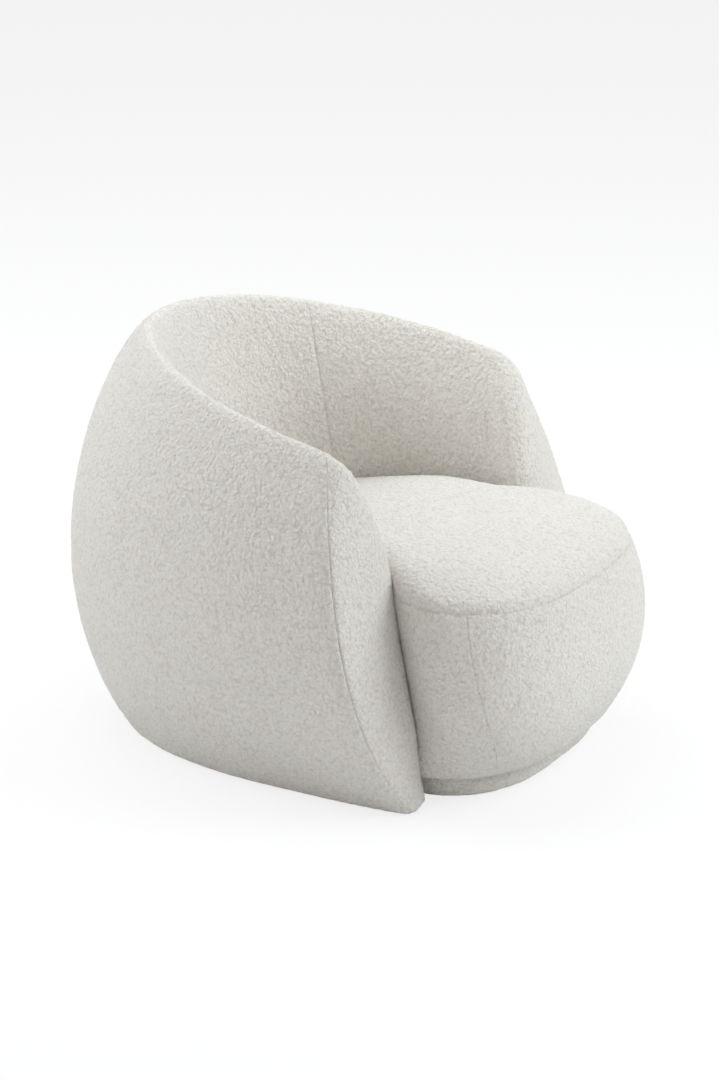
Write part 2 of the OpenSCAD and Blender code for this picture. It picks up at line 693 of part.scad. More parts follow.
// Plinth
plinth_ring = ring(seat_bottom_z, plinth_inset);
plinth_board_ring = ring(seat_bottom_z, plinth_inset + cover_in);
module plinth_cover() {
    color("gainsboro") translate([0, 0, inner_hem_z]) linear_extrude(seat_bottom_z - inner_hem_z)
        difference() {
            polygon(plinth_ring);
            polygon(ring(seat_bottom_z, plinth_inset + cover_t));
        }
}
module plinth_board(z) {
    translate([0, 0, z]) linear_extrude(plinth_board_t - fit) difference() {
        polygon(plinth_board_ring);
        polygon(shrunk(plinth_board_ring, plinth_ring_w));
    }
}
module plinth_low_board() {
    color("tan") plinth_board(foot_z);
}
module plinth_top_board() {
    color("tan") plinth_board(foot_z + plinth_board_t);
}

// Steel plates under the plinth and the shell's base rail, with their screws
plate_shares = [0.3, 0.66, 0.86];
thin_fit = 0.1;
plate_z = foot_z - plate_t - thin_fit;
screw_head_h = 1.2;
function plate_end(u) = wall_at(1, foot_z, u, frame_in + ply_t);
function plinth_end(u) = on_row(wall_row(1, u, -plinth_inset - 2 * ply_t, undef, 0), foot_z);
function plate_len(u) = norm(plate_end(u) - plinth_end(u));
module plate_place(u) {
    a = plate_end(u);
    b = plinth_end(u);
    for (s = [1, -1])
        translate([s * a[0], a[1], 0]) rotate([0, 0, atan2(b[1] - a[1], s * (b[0] - a[0]))])
            children();
}
module joining_plates() {
    color("silver") for (u = plate_shares) plate_place(u) difference() {
        translate([-ply_t / 2, -plate_w / 2, plate_z]) cube([plate_len(u) + ply_t, plate_w, plate_t]);
        for (x = [0, plate_len(u)])
            translate([x, 0, plate_z - over]) cylinder(r = screw_r + fit, h = plate_t + 2 * over, $fn = 24);
    }
}
module plate_screws() {
    color("gray") for (u = plate_shares) plate_place(u) for (x = [0, plate_len(u)])
        translate([x, 0, plate_z - screw_head_h - thin_fit])
            cylinder(r = screw_head_r, h = screw_head_h, $fn = 24);
}

dust_t = 1;
dust_lap_share = 0.75;
module dust_cover() {
    color("black") board(shrunk(plinth_board_ring, plinth_ring_w * dust_lap_share), foot_z - fit - dust_t, dust_t);
}

// Glides under the plinth and the base rail
// Glides of the plinth, as shares of the way round its ring, and of the shell, as shares round the plan
glide_ring_shares = [0, 0.205, 0.34, 0.455, 0.545, 0.66, 0.795];
glide_rail_shares = [0, 0.42, 0.78, 0.96];
// How far the plinth's glides stand in from the edge of its ring
glide_edge_share = 0.33;
module glide_places() {
    mids = shrunk(plinth_board_ring, plinth_ring_w * glide_edge_share);
    for (k = glide_ring_shares) translate([ring_place(mids, k)[0], ring_place(mids, k)[1], 0]) children();
    for (u = glide_rail_shares, s = u == 0 ? [1] : [1, -1]) {
        a = wall_at(1, foot_z, u, frame_in + glide_r);
        translate([s * a[0], a[1], 0]) children();
    }
}
module glides() {
    color("dimgray") glide_places() difference() {
        cylinder(r = glide_r, h = foot_z - thin_fit, $fn = 32);
        translate([0, 0, screw_head_h]) cylinder(r = screw_r + fit, h = foot_z, $fn = 24);
    }
}
module glide_screws() {
    color("gray") glide_places() translate([0, 0, screw_head_h + fit])
        cylinder(r = screw_r, h = foot_z - screw_head_h - 2 * fit, $fn = 24);
}

outer_cover_left();
outer_cover_right();
inner_cover_left();
inner_cover_back();
inner_cover_right();
arm_front_cover_left();
arm_front_cover_right();
outer_foam();
inner_foam();
arm_front_foam_left();
arm_front_foam_right();
outer_liner();
arm_liner_left();
arm_liner_right();
back_webbing();
top_rail();
seat_rail();
base_rail();
rib_back_middle();
rib_back_left();
rib_back_right();
rib_corner_left();
rib_corner_right();
rib_side_left();
rib_side_right();
arm_front_board_left();
arm_front_board_right();
seat_top_cover();
seat_band_front();
seat_band_left();
seat_band_right();
seat_band_back();
seat_topper();
seat_foam_core();
seat_band_pad();
seat_webbing_long();
seat_webbing_cross();
seat_top_ring();
seat_posts();
seat_skirt_board();
seat_base_plate();
plinth_cover();
plinth_top_board();
plinth_low_board();
joining_plates();
plate_screws();
dust_cover();
glides();
glide_screws();
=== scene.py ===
"""Tub chair in off-white boucle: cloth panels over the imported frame, on a pale floor in soft light."""
import json
import math

import bpy
import numpy as np
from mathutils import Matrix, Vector


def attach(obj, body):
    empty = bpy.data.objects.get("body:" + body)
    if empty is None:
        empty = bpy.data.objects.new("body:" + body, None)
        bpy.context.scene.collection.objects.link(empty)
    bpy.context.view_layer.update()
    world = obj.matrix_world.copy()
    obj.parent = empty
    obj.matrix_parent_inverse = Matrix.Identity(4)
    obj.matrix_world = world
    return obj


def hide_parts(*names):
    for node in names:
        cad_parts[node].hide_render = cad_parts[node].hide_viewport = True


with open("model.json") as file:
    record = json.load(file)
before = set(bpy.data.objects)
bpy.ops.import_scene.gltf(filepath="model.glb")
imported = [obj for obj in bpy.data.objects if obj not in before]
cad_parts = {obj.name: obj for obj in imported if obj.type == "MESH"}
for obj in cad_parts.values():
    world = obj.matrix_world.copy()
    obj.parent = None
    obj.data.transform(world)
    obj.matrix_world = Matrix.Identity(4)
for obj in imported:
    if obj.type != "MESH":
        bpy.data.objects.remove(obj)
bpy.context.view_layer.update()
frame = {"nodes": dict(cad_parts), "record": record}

# Sizes of the chair in millimetres, the same as the part's own
MM = 0.001
BACK_H, ARM_H = 700, 604
CREST_HALF_W, CREST_BACK_Y, TURN_Y, ARM_CURVE = 313, 365, -76, 870
PLAN_LOW, PLAN_TOP, RIM_POWER = 2.49, 1.96, 10
FRONT_Y = (-316, -239, -210, -139)
FRONT_SWELL = 12
RIM_BACK, RIM_ARM = 49, 26
SIDE = {-1: (39, 157, 93, 0), 1: (15, 47, 91, 0)}
BACK = {-1: (30, 175, 114, 0), 1: (174, 144, 100, 0)}
SEAT_HALF_W, SEAT_FRONT, SEAT_MID_Y, SEAT_POWER = 297, 270, -210, 2.91
SEAT_LOW, SEAM_Z, CROWN, CROWN_BACK, CROWN_POWER = 42, 352, 60, 16, 2.6
CROWN_LEVEL = 0.12
BULGE, TUCK, NECK, SEAT_GAP = 26, 31, 150, 1
PLINTH_INSET = 30
HEM, INNER_HEM = 3, 7
INNER_SEAM = 0.5
PAD = {-1: 24, 1: 45}
FOOT_PAD = 9
FALL = (BACK_H - ARM_H) / (CREST_BACK_Y - FRONT_Y[3])

# Cloth, in millimetres: pitch of the points, nubs, and the soft unevenness of the padding below
GRID = 3.6
NUB, NUB_HEIGHT, NUB_MIDDLE, NUB_BEND, NUB_BEND_SIZE = 8.5, 2.0, 0.55, 2.0, 9.0
FINE_HEIGHT, FINE_SIZE = 0.5, 4.0
UNEVEN_HEIGHT, UNEVEN_SIZE, LUMP_HEIGHT, LUMP_SIZE = 1.1, 95.0, 0.5, 38.0
WELD_PER_MM = 20

# Seams: the line, the valley beside it, the puckers and where they start, and the rows turned in
SEAM_WIDTH, VALLEY_DEPTH, VALLEY_WIDTH = 4.5, 0.35, 16.0
PUCKER_DEPTH, PUCKER_WIDTH, PUCKER_SIZE, PUCKER_SHARE = 0.22, 13.0, 11.0, 0.6
FRONT_START, INNER_START, BAND_START = 500, 9, 90
TURN_IN = (2.0, 7.0)
BACK_SEAM_DEPTH, BACK_SEAM_FADE = 2.0, 40.0
INNER_SEAM_DEPTH, INNER_SEAM_FADE = 1.3, 55.0
FRONT_SEAM_DEPTH, FRONT_SEAM_TOP, FRONT_SEAM_FADE = 0.8, 0.78, 0.3
TOP_SEAM_DEPTH, BAND_SEAM_DEPTH, PLINTH_SEAM_DEPTH = 1.2, 0.25, 1.6

# Arm front: the leaf-shaped panel, its swell, and how far its edges are rounded
NOSE = 14
CLOTH_SWELL, LEAF_FULLNESS, LEAF_COLUMNS = (21, 26), 2.1, round(90 / GRID)
SWELL_RISE_Z, SEAT_SWELL_Z, SEAT_SWELL_RISE, FULL_SWELL_WIDTH = 150, 340, 130, 48
EDGE_SWELL, EDGE_SWELL_WIDTH, EDGE_SWELL_LOW, EDGE_SWELL_RISE, EDGE_SWELL_END = 10, 24, 0.4, 0.3, 0.13
OUTER_ROUND, INNER_ROUND, TOP_ROUND, TOP_ROUND_WIDTH = 17.0, 8.0, 14.0, 70
ROUND_REACH, ROUND_FADE = 110, 45.0
CORNER_LIFT, CORNER_REACH, CORNER_HEIGHT = 9, 40.0, 70.0

# Lower edges, each with its height and wave, and the cloth turned under
OUTER_EDGE, INNER_EDGE = (1.5, 1.3), (6.5, 0.3)
BAND_EDGE, PLINTH_EDGE = (SEAT_LOW - 0.5, 1.1), (INNER_HEM - 5.5, 1.2)
HEM_ROLL, BAND_ROLL, FIRST_TURN, HEM_TURN, BAND_TURN = 7, 16, 5, 16.0, 44.0
WAVE_SIZE, SMALL_WAVE_SIZE, WAVE_REACH = 34.0, 13.0, 45.0

# Seat cloth: lengths of its runs, seams as places round the ring, its form between the arm fronts
BACK_RUN, SIDE_RUN, FRONT_RUN, TOP_RUN, BAND_RUN = 480, 330, 330, 380, 345
PLINTH_BACK_RUN, PLINTH_FRONT_RUN, PLINTH_RUN = 640, 520, 42
SIDE_PLACE, FRONT_PLACE, PLINTH_PLACE = 0.75, 1.37, 1.45
CLOTH_NECK, NECK_LOW_Z, NECK_RISE, NECK_BLUR = 138, 150, 150, 55
NECK_POWER, NECK_SPREAD = 5.0, 0.22
SEAT_EDGE, EDGE_REACH, EDGE_FADE, CENTRE = 15, 75, 30.0, 0.004
BAND_SWELL, BAND_SWELL_PLACE, BAND_SWELL_RUN, PLINTH_SWELL = 4, 1.05, 0.3, 3.5

# Padding below the cloth, straps and dust cloth
UNDER = 7.5
ARM_PAD, ARM_PAD_LIFT, BAND_PAD, TOPPER_DROP = 9.0, 4, 26, 8
STRAP_HALF_W, STRAP_PITCH, STRAP_THICK, STRAP_SAG = 25, 80, 1.3, 1.5
DUST_INSET, DUST_Z, DUST_RISE = 75, 5.0, 1.5

# Floor, lamps and camera, in metres, watts and millimetres of lens
FLOOR_SIZE, FLOOR_SHADE, FLOOR_GLOW = 14, 0.86, 0.78
FILL_COLOUR, FILL_STRENGTH = (1.0, 0.99, 0.975), 0.475
LAMP_AIM = (0, 0, 0.35)
CAMERA_AT, CAMERA_AIM, CAMERA_LENS, SENSOR_WIDTH = (-5.241, -3.028, 2.569), (0, -0.0183, 0.3299), 122.87, 36


# Shape of the shell

def bez(c, t):
    """Smooth curve from the first of four values to the last, pulled towards the two between."""
    return c[0] * (1 - t) ** 3 + 3 * c[1] * t * (1 - t) ** 2 + 3 * c[2] * t * t * (1 - t) + c[3] * t ** 3


def ease(k):
    """Soft step from 0 to 1."""
    k = np.clip(k, 0, 1)
    return k * k * (3 - 2 * k)


def mix(a, b, k):
    return a + (b - a) * k


def crest_z(y):
    """Height of the crest, which falls from the back to the arms."""
    return BACK_H - FALL * (CREST_BACK_Y - y)


def reach(t):
    """Angle round the plan at which the arm front lies, drawn back near the crest for a soft nose."""
    near = NOSE - np.clip((1 - t) * ARM_H, 0, NOSE)
    front = bez(FRONT_Y, t) + NOSE - np.sqrt(NOSE ** 2 - near ** 2)
    return 90 + np.degrees(np.arcsin((TURN_Y - front) / ARM_CURVE))


def section(side, t, u, sizes):
    """How far the wall stands from the crest line at level t, outwards or inwards."""
    rim = mix(RIM_BACK, RIM_ARM, u)
    return -side * (bez(sizes[side], t) + rim * t) * np.sqrt(np.maximum(0, 1 - t ** RIM_POWER))


def shell(side, t, u, inset=0.0):
    """Points of the outer (-1) or inner (1) side at level t, u from 0 behind to 1 at the arm front."""
    n = mix(PLAN_LOW, PLAN_TOP, t)
    a = CREST_HALF_W + section(side, t, u, SIDE) + side * inset
    b = CREST_BACK_Y - TURN_Y + section(side, t, u, BACK) + side * inset
    phi = np.radians(u * reach(t))
    over = np.maximum(phi - math.pi / 2, 0)
    turned = np.minimum(phi, math.pi / 2)
    x = np.where(over > 0, a * np.cos(over), a * np.sin(turned) ** (2 / n))
    y = TURN_Y + np.where(over > 0, -ARM_CURVE * np.sin(over), b * np.maximum(np.cos(turned), 0) ** (2 / n))
    return np.stack([x, y, t * crest_z(y)], -1)


def wall_at(z, u, inset):
    """Plan of the inner wall at the height z, by settling the level."""
    t = np.full(np.shape(u), 0.4)
    for _ in range(6):
        t = z / crest_z(shell(1, t, u, inset)[..., 1])
    return shell(1, t, u, inset)[..., :2]


# Shape of the seat

def band_off(z):
    """How far the seat band bulges out or tucks in at the height z."""
    h = np.clip((z - SEAT_LOW) / (SEAM_Z - SEAT_LOW), 0, 1)
    return BULGE * 4 * h * (1 - h) - TUCK * (1 - h) ** 2.5


def half_ring(z, inset, q, neck=NECK):
    """Plan of the seat at the height z: q is 0 behind, 1 at the arm front and 2 at the front."""
    a, b = SEAT_HALF_W + band_off(z) - inset, SEAT_FRONT + band_off(z) - inset
    wall = wall_at(z, np.minimum(q, 1), -SEAT_GAP - inset)
    cx, cy = wall_at(z, np.array([1.0]), -SEAT_GAP - inset)[0]
    last = math.acos(min(1, max(0, (SEAT_MID_Y - cy) / b)) ** (SEAT_POWER / 2))
    k = last * np.linspace(1, 0, 400)
    y = SEAT_MID_Y - b * np.maximum(np.cos(k), 0) ** (2 / SEAT_POWER)
    x = a * np.sin(k) ** (2 / SEAT_POWER)
    x = cx + (x - cx) * (1 - (1 - np.clip((cy - y) / neck, 0, 1)) ** 2)
    x[0], y[0], x[-1] = cx, cy, 0
    s = np.concatenate([[0], np.cumsum(np.hypot(np.diff(x), np.diff(y)))])
    f = np.clip(q - 1, 0, 1) * s[-1]
    ahead = np.stack([np.interp(f, s, x), np.interp(f, s, y)], -1)
    return np.where((q > 1)[:, None], ahead, wall)


RING_BACK = CREST_BACK_Y - BACK[1][1]
RING_MID = np.array([0, (RING_BACK + SEAT_MID_Y - SEAT_FRONT) / 2])


def crown_z(y, r, power=CROWN_POWER):
    """Height of the seat's top at the depth y, r from 0 in the middle to 1 at the seam."""
    back = ease((y - RING_MID[1]) / (RING_BACK - RING_MID[1]) - CROWN_LEVEL)
    return SEAM_Z + mix(CROWN, CROWN_BACK, back) * np.sqrt(np.maximum(0, 1 - r ** power))


# Noise on points, the same each run

def hashed(c, seed):
    """A fixed value from 0 to 1 for each whole-number cell."""
    h = (c[..., 0] * 73856093) ^ (c[..., 1] * 19349663) ^ (c[..., 2] * 83492791) ^ (seed * 2654435761)
    h = (h ^ (h >> 13)) * 1274126177 & 0xFFFFFFFF
    return ((h ^ (h >> 16)) & 0xFFFF) / 65535.0


def smooth_noise(p, size, seed=1):
    """Value noise from -1 to 1 with cells of this size."""
    q = p / size
    c = np.floor(q).astype(np.int64)
    f = q - c
    f = f * f * (3 - 2 * f)
    total = 0
    for i in range(8):
        o = np.array([i & 1, i >> 1 & 1, i >> 2])
        total = total + np.prod(np.where(o, f, 1 - f), -1) * hashed(c + o, seed)
    return total * 2 - 1


def curls(p, size, seed=7):
    """Round nubs from 0 in the gaps to 1 on top, from the distance to the nearest of scattered points."""
    q = p / size
    c = np.floor(q).astype(np.int64)
    best = np.full(p.shape[:-1], 9.0)
    for i in range(27):
        n = c + np.array([i % 3 - 1, i // 3 % 3 - 1, i // 9 - 1])
        at = n + np.stack([hashed(n, seed + k) for k in range(3)], -1)
        best = np.minimum(best, np.sum((q - at) ** 2, -1))
    return np.clip(1 - best, 0, 1)


def pile(p):
    """Height of the cloth's nubs and of the soft unevenness of the padding below them."""
    bent = p + NUB_BEND * np.stack([smooth_noise(p, NUB_BEND_SIZE, 21 + k) for k in range(3)], -1)
    nubs = NUB_HEIGHT * (curls(bent, NUB) - NUB_MIDDLE) + FINE_HEIGHT * smooth_noise(p, FINE_SIZE, 3)
    uneven = UNEVEN_HEIGHT * smooth_noise(p, UNEVEN_SIZE, 5)
    return nubs + uneven + LUMP_HEIGHT * smooth_noise(p, LUMP_SIZE, 6)


# Grids of points

def arc(p, axis):
    """Length along one axis of a grid of points."""
    d = np.linalg.norm(np.diff(p, axis=axis), axis=-1)
    return np.concatenate([np.zeros_like(np.take(d, [0], axis)), np.cumsum(d, axis)], axis)


def run_round(p):
    """Length along the rows of a grid that closes on itself."""
    return arc(np.concatenate([p, p[:, :1]], 1), 1)[:, :-1]


def length_along(path):
    """Length from the start of a path to each of its points."""
    return np.concatenate([[0], np.cumsum(np.linalg.norm(np.diff(path, axis=0), axis=-1))])


def even(fn, low, high):
    """Values between low and high at about even distances along fn, GRID apart."""
    fine = np.linspace(low, high, 600)
    s = length_along(fn(fine))
    return np.interp(np.linspace(0, s[-1], max(3, round(s[-1] / GRID) + 1)), s, fine)


def softened(path, s, sigma):
    """A path with its corners rounded by a bell curve of this width, going straight on past its ends."""
    step = 1.0
    m = np.arange(0, s[-1] + step, step)
    q = np.stack([np.interp(m, s, path[:, k]) for k in range(3)], -1)
    r = int(3 * sigma / step)
    head = q[0] - (q[1] - q[0]) * np.arange(r, 0, -1)[:, None]
    tail = q[-2] + (q[-2] - q[-3]) * np.arange(1, r + 1)[:, None]
    bell = np.exp(-0.5 * (np.arange(-r, r + 1) * step / sigma) ** 2)
    q = np.concatenate([head, q, tail])
    q = np.stack([np.convolve(q[:, k], bell / bell.sum(), "valid") for k in range(3)], -1)
    return np.stack([np.interp(s, m, q[:, k]) for k in range(3)], -1)


def skin_normals(grids):
    """Normals of grids that share borders, as one skin. A grid is (points, flip, closed)."""
    points = np.concatenate([g[0].reshape(-1, 3) for g in grids])
    _, weld = np.unique(np.round(points * WELD_PER_MM).astype(np.int64), axis=0, return_inverse=True)
    weld = weld.ravel()
    total = np.zeros((weld.max() + 1, 3))
    start = 0
    for p, flip, closed in grids:
        f = quads(*p.shape[:2], closed) + start
        a = np.cross(points[f[:, 2]] - points[f[:, 0]], points[f[:, 3]] - points[f[:, 1]])
        a = -a if flip else a
        for corner in range(4):
            for k in range(3):
                total[:, k] += np.bincount(weld[f[:, corner]], a[:, k], len(total))
        start += p.shape[0] * p.shape[1]
    n = total[weld]
    n /= np.maximum(np.linalg.norm(n, axis=-1, keepdims=True), 1e-9)
    out, start = [], 0
    for p, _, _ in grids:
        size = p.shape[0] * p.shape[1]
        out.append(n[start:start + size].reshape(p.shape))
        start += size
    return out


def quads(rows, cols, closed=False):
    """Corner numbers of the faces of a grid; a closed one joins its last column to its first."""
    i, j = np.meshgrid(np.arange(rows - 1), np.arange(cols if closed else cols - 1), indexing="ij")
    k = (j + 1) % cols
    return np.stack([i * cols + j, i * cols + k, (i + 1) * cols + k, (i + 1) * cols + j], -1).reshape(-1, 4)


def dip(p, gap, depth, along):
    """How far a seam draws the cloth in, with small puckers beside it."""
    place = np.zeros(p.shape)
    place[..., 2] = along
    pucker = smooth_noise(place, PUCKER_SIZE, 31) + PUCKER_SHARE * smooth_noise(place, PUCKER_SIZE / 2, 32)
    line = np.exp(-(gap / SEAM_WIDTH) ** 2)
    valley = VALLEY_DEPTH * np.exp(-gap / VALLEY_WIDTH)
    return depth * (line + valley + PUCKER_DEPTH * pucker * np.exp(-gap / PUCKER_WIDTH))


def turned_in(p, n, sides):
    """Adds rows past the named borders that turn into the padding, so that a seam shows no gap."""
    for side in sides:
        axis = 0 if side in ("top", "bottom") else 1
        first = side in ("top", "left")
        end = [0 if first else -1]
        edge, near = np.take(p, end, axis), np.take(n, end, axis)
        rows = [edge - near * d for d in TURN_IN]
        if first:
            p = np.concatenate(rows[::-1] + [p], axis)
            n = np.concatenate([near, near, n], axis)
        else:
            p = np.concatenate([p] + rows, axis)
            n = np.concatenate([n, near, near], axis)
    return p, n


def rolled(height, roll):
    """How far a soft lower edge of this radius draws in at a height above it."""
    rise = np.clip(height / roll, 0, 1)
    return roll * (1 - np.sqrt(np.clip(1 - (1 - rise) ** 2, 0, 1)))


def hemmed(p, n, low, wave, deep=HEM_TURN, roll=HEM_ROLL):
    """Rolls the lowest rows of a panel inwards in a soft edge, a little wavy, and turns it under."""
    flat = n * [1, 1, 0]
    flat /= np.maximum(np.linalg.norm(flat, axis=-1, keepdims=True), 1e-9)
    plan = p * [1, 1, 0]
    lift = wave * (smooth_noise(plan, WAVE_SIZE, 41) + 0.5 * smooth_noise(plan, SMALL_WAVE_SIZE, 42))
    p = p + np.stack([0 * lift, 0 * lift, lift * ease(1 - (p[..., 2] - low) / WAVE_REACH)], -1)
    p = p - flat * rolled(p[..., 2] - low, roll)[..., None]
    under = p[-1:] - flat[-1:] * FIRST_TURN - [0, 0, 0.4]
    return np.concatenate([p, under, p[-1:] - flat[-1:] * deep - [0, 0, 0.2]], 0)


def piece(name, p, flip, node_names, closed=False, stuff=None):
    """A panel of cloth from a grid of points; flip turns its faces round."""
    faces = quads(*p.shape[:2], closed)
    if flip:
        faces = faces[:, ::-1]
    return solid(name, p.reshape(-1, 3), faces.tolist(), node_names, stuff)


def solid(name, points, faces, node_names, stuff=None):
    """A mesh from points in millimetres, with its stuff, that hides the imported parts it replaces."""
    me = bpy.data.meshes.new(name)
    me.from_pydata((points * MM).tolist(), [], faces)
    me.validate()
    me.polygons.foreach_set("use_smooth", np.ones(len(me.polygons), bool))
    me.materials.append(stuff or BOUCLE)
    me.update()
    ob = bpy.data.objects.new(name, me)
    bpy.context.scene.collection.objects.link(ob)
    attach(ob, "root")
    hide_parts(*node_names)
    return ob


# Materials

def new_material(name):
    m = bpy.data.materials.new(name)
    m.use_nodes = True
    return m, m.node_tree.nodes, m.node_tree.links, m.node_tree.nodes["Principled BSDF"]


def ramp(nodes, stops):
    r = nodes.new("ShaderNodeValToRGB")
    while len(r.color_ramp.elements) > 1:
        r.color_ramp.elements.remove(r.color_ramp.elements[-1])
    r.color_ramp.elements[0].position, r.color_ramp.elements[0].color = stops[0][0], (*stops[0][1], 1)
    for at, colour in stops[1:]:
        r.color_ramp.elements.new(at).color = (*colour, 1)
    return r


def maths(nodes, links, kind, *values, clamp=False):
    m = nodes.new("ShaderNodeMath")
    m.operation, m.use_clamp = kind, clamp
    for slot, value in zip(m.inputs, values):
        if hasattr(value, "is_linked"):
            links.new(value, slot)
        else:
            slot.default_value = value
    return m.outputs[0]


def noise(nodes, links, at, scale, detail, rough=0.5):
    n = nodes.new("ShaderNodeTexNoise")
    n.inputs["Scale"].default_value, n.inputs["Detail"].default_value = scale, detail
    n.inputs["Roughness"].default_value = rough
    links.new(at, n.inputs["Vector"])
    return n


def boucle_material():
    """Cream boucle: clumps of curled yarn whose colour is darker where the pile is low, painted shade in the
    hollows between nubs, with fine dark specks of painted shade for the gaps between threads, slow random
    patches of tone and a soft sheen bloom.
    """
    m, nodes, links, shader = new_material("boucle_cloth")
    bend_scale, loop_scale, clump_scale, yarn_scale, gap_shade_scale, patch_scale = 130, 185, 120, 450, 820, 26
    bend_metres, bump_metres, bump_strength = 0.008, 0.0032, 0.85
    at = nodes.new("ShaderNodeTexCoord").outputs["Object"]
    bend = nodes.new("ShaderNodeVectorMath")
    bend.operation = "MULTIPLY_ADD"
    links.new(noise(nodes, links, at, bend_scale, 3, 0.6).outputs["Color"], bend.inputs[0])
    bend.inputs[1].default_value = (bend_metres,) * 3
    links.new(at, bend.inputs[2])
    loops = nodes.new("ShaderNodeTexVoronoi")
    loops.feature, loops.inputs["Scale"].default_value = "SMOOTH_F1", loop_scale
    loops.inputs["Smoothness"].default_value, loops.inputs["Randomness"].default_value = 0.3, 1.0
    links.new(bend.outputs[0], loops.inputs["Vector"])
    clumps = noise(nodes, links, at, clump_scale, 3, 0.55)
    yarn = noise(nodes, links, bend.outputs[0], yarn_scale, 3, 0.7)
    gap_shade_specks = noise(nodes, links, at, gap_shade_scale, 2, 0.7)
    patch = noise(nodes, links, at, patch_scale, 3)
    # Height of the pile: it drives the bump and also the painted shade in the colour below
    height = maths(nodes, links, "MULTIPLY_ADD", loops.outputs["Distance"], -1.2, 0.45)
    height = maths(nodes, links, "MULTIPLY_ADD", clumps.outputs["Fac"], 0.9, height)
    height = maths(nodes, links, "MULTIPLY_ADD", yarn.outputs["Fac"], 1.1, height)
    bump = nodes.new("ShaderNodeBump")
    bump.inputs["Strength"].default_value = bump_strength
    bump.inputs["Distance"].default_value = bump_metres
    links.new(height, bump.inputs["Height"])
    links.new(bump.outputs["Normal"], shader.inputs["Normal"])
    # Colour darker where the pile is low: painted shade in the hollows between nubs
    tone_with_painted_shade = maths(nodes, links, "MULTIPLY_ADD", height, 1.0, -0.89)
    # Fine dark specks of noise: painted shade for the gaps between threads
    tone_with_painted_shade = maths(nodes, links, "MULTIPLY_ADD", gap_shade_specks.outputs["Fac"], 0.75, tone_with_painted_shade)
    # Slow random patches: the cloth's own tone
    tone_with_painted_shade = maths(nodes, links, "MULTIPLY_ADD", patch.outputs["Fac"], 0.2, tone_with_painted_shade, clamp=True)
    # The darker stops colour the painted shade, the lighter stops the tops of the nubs
    colours = ramp(nodes, [(0.0, (0.76, 0.715, 0.635)), (0.35, (0.857, 0.822, 0.757)),
                           (0.65, (0.892, 0.864, 0.807)), (1.0, (0.922, 0.899, 0.85))])
    links.new(tone_with_painted_shade, colours.inputs["Fac"])
    links.new(colours.outputs["Color"], shader.inputs["Base Color"])
    shader.inputs["Roughness"].default_value = 0.95
    shader.inputs["Specular IOR Level"].default_value = 0.12
    shader.inputs["Sheen Weight"].default_value = 0.7
    shader.inputs["Sheen Roughness"].default_value = 0.36
    return m


def grained(name, dark, light, stretch, scale, rough, bump_m, metallic=0.0):
    """A plain stuff with a grain: wood, foam, board, webbing, metal or plastic."""
    m, nodes, links, shader = new_material(name)
    place = nodes.new("ShaderNodeMapping")
    place.inputs["Scale"].default_value = stretch
    links.new(nodes.new("ShaderNodeTexCoord").outputs["Object"], place.inputs["Vector"])
    grain = noise(nodes, links, place.outputs[0], scale, 5)
    colours = ramp(nodes, [(0.3, dark), (0.7, light)])
    links.new(grain.outputs["Fac"], colours.inputs["Fac"])
    links.new(colours.outputs["Color"], shader.inputs["Base Color"])
    bump = nodes.new("ShaderNodeBump")
    bump.inputs["Distance"].default_value, bump.inputs["Strength"].default_value = bump_m, 0.5
    links.new(grain.outputs["Fac"], bump.inputs["Height"])
    links.new(bump.outputs["Normal"], shader.inputs["Normal"])
    shader.inputs["Roughness"].default_value = rough
    shader.inputs["Metallic"].default_value = metallic
    return m


EVEN = (1, 1, 1)
BOUCLE = boucle_material()
STUFFS = {
    "foam": grained("cut_foam", (0.78, 0.72, 0.5), (0.9, 0.86, 0.68), EVEN, 900, 0.95, 0.0008),
    "webbing": grained("elastic_webbing", (0.02, 0.02, 0.022), (0.06, 0.06, 0.065), EVEN, 700, 0.85, 0.0006),
    "dust_cloth": grained("dust_cloth", (0.012, 0.012, 0.013), (0.035, 0.035, 0.038), EVEN, 500, 0.9, 0.0004),
    "fibreboard": grained("fibreboard", (0.30, 0.20, 0.11), (0.42, 0.30, 0.18), EVEN, 300, 0.8, 0.0003),
    "plywood": grained("birch_plywood", (0.52, 0.37, 0.21), (0.72, 0.56, 0.37), (1, 9, 9), 12, 0.6, 0.0004),
    "steel": grained("zinc_steel", (0.45, 0.46, 0.47), (0.62, 0.62, 0.63), (1, 12, 1), 90, 0.38, 0.0001, 1.0),
    "glide_plastic": grained("glide_nylon", (0.015, 0.015, 0.016), (0.03, 0.03, 0.031),
                             EVEN, 400, 0.5, 0.0002),
    "lining": grained("lining_cloth", (0.42, 0.4, 0.36), (0.58, 0.56, 0.52), EVEN, 800, 0.9, 0.0005),
}


def dress_nodes():
    """Gives each node of the part the stuff of its slot, and boucle where the slot names none."""
    slot_of = {s["node"]: s["material_slot"] for s in frame["record"]["subparts"]}
    for node, ob in frame["nodes"].items():
        stuff = STUFFS.get(slot_of.get(node), BOUCLE)
        for slot in ob.material_slots:
            slot.link = "OBJECT"
            slot.material = stuff
        if not ob.material_slots:
            ob.data.materials.append(stuff)


dress_nodes()


# Cloth of the shell: both sides and the arm front share rows and border points, so no gap shows

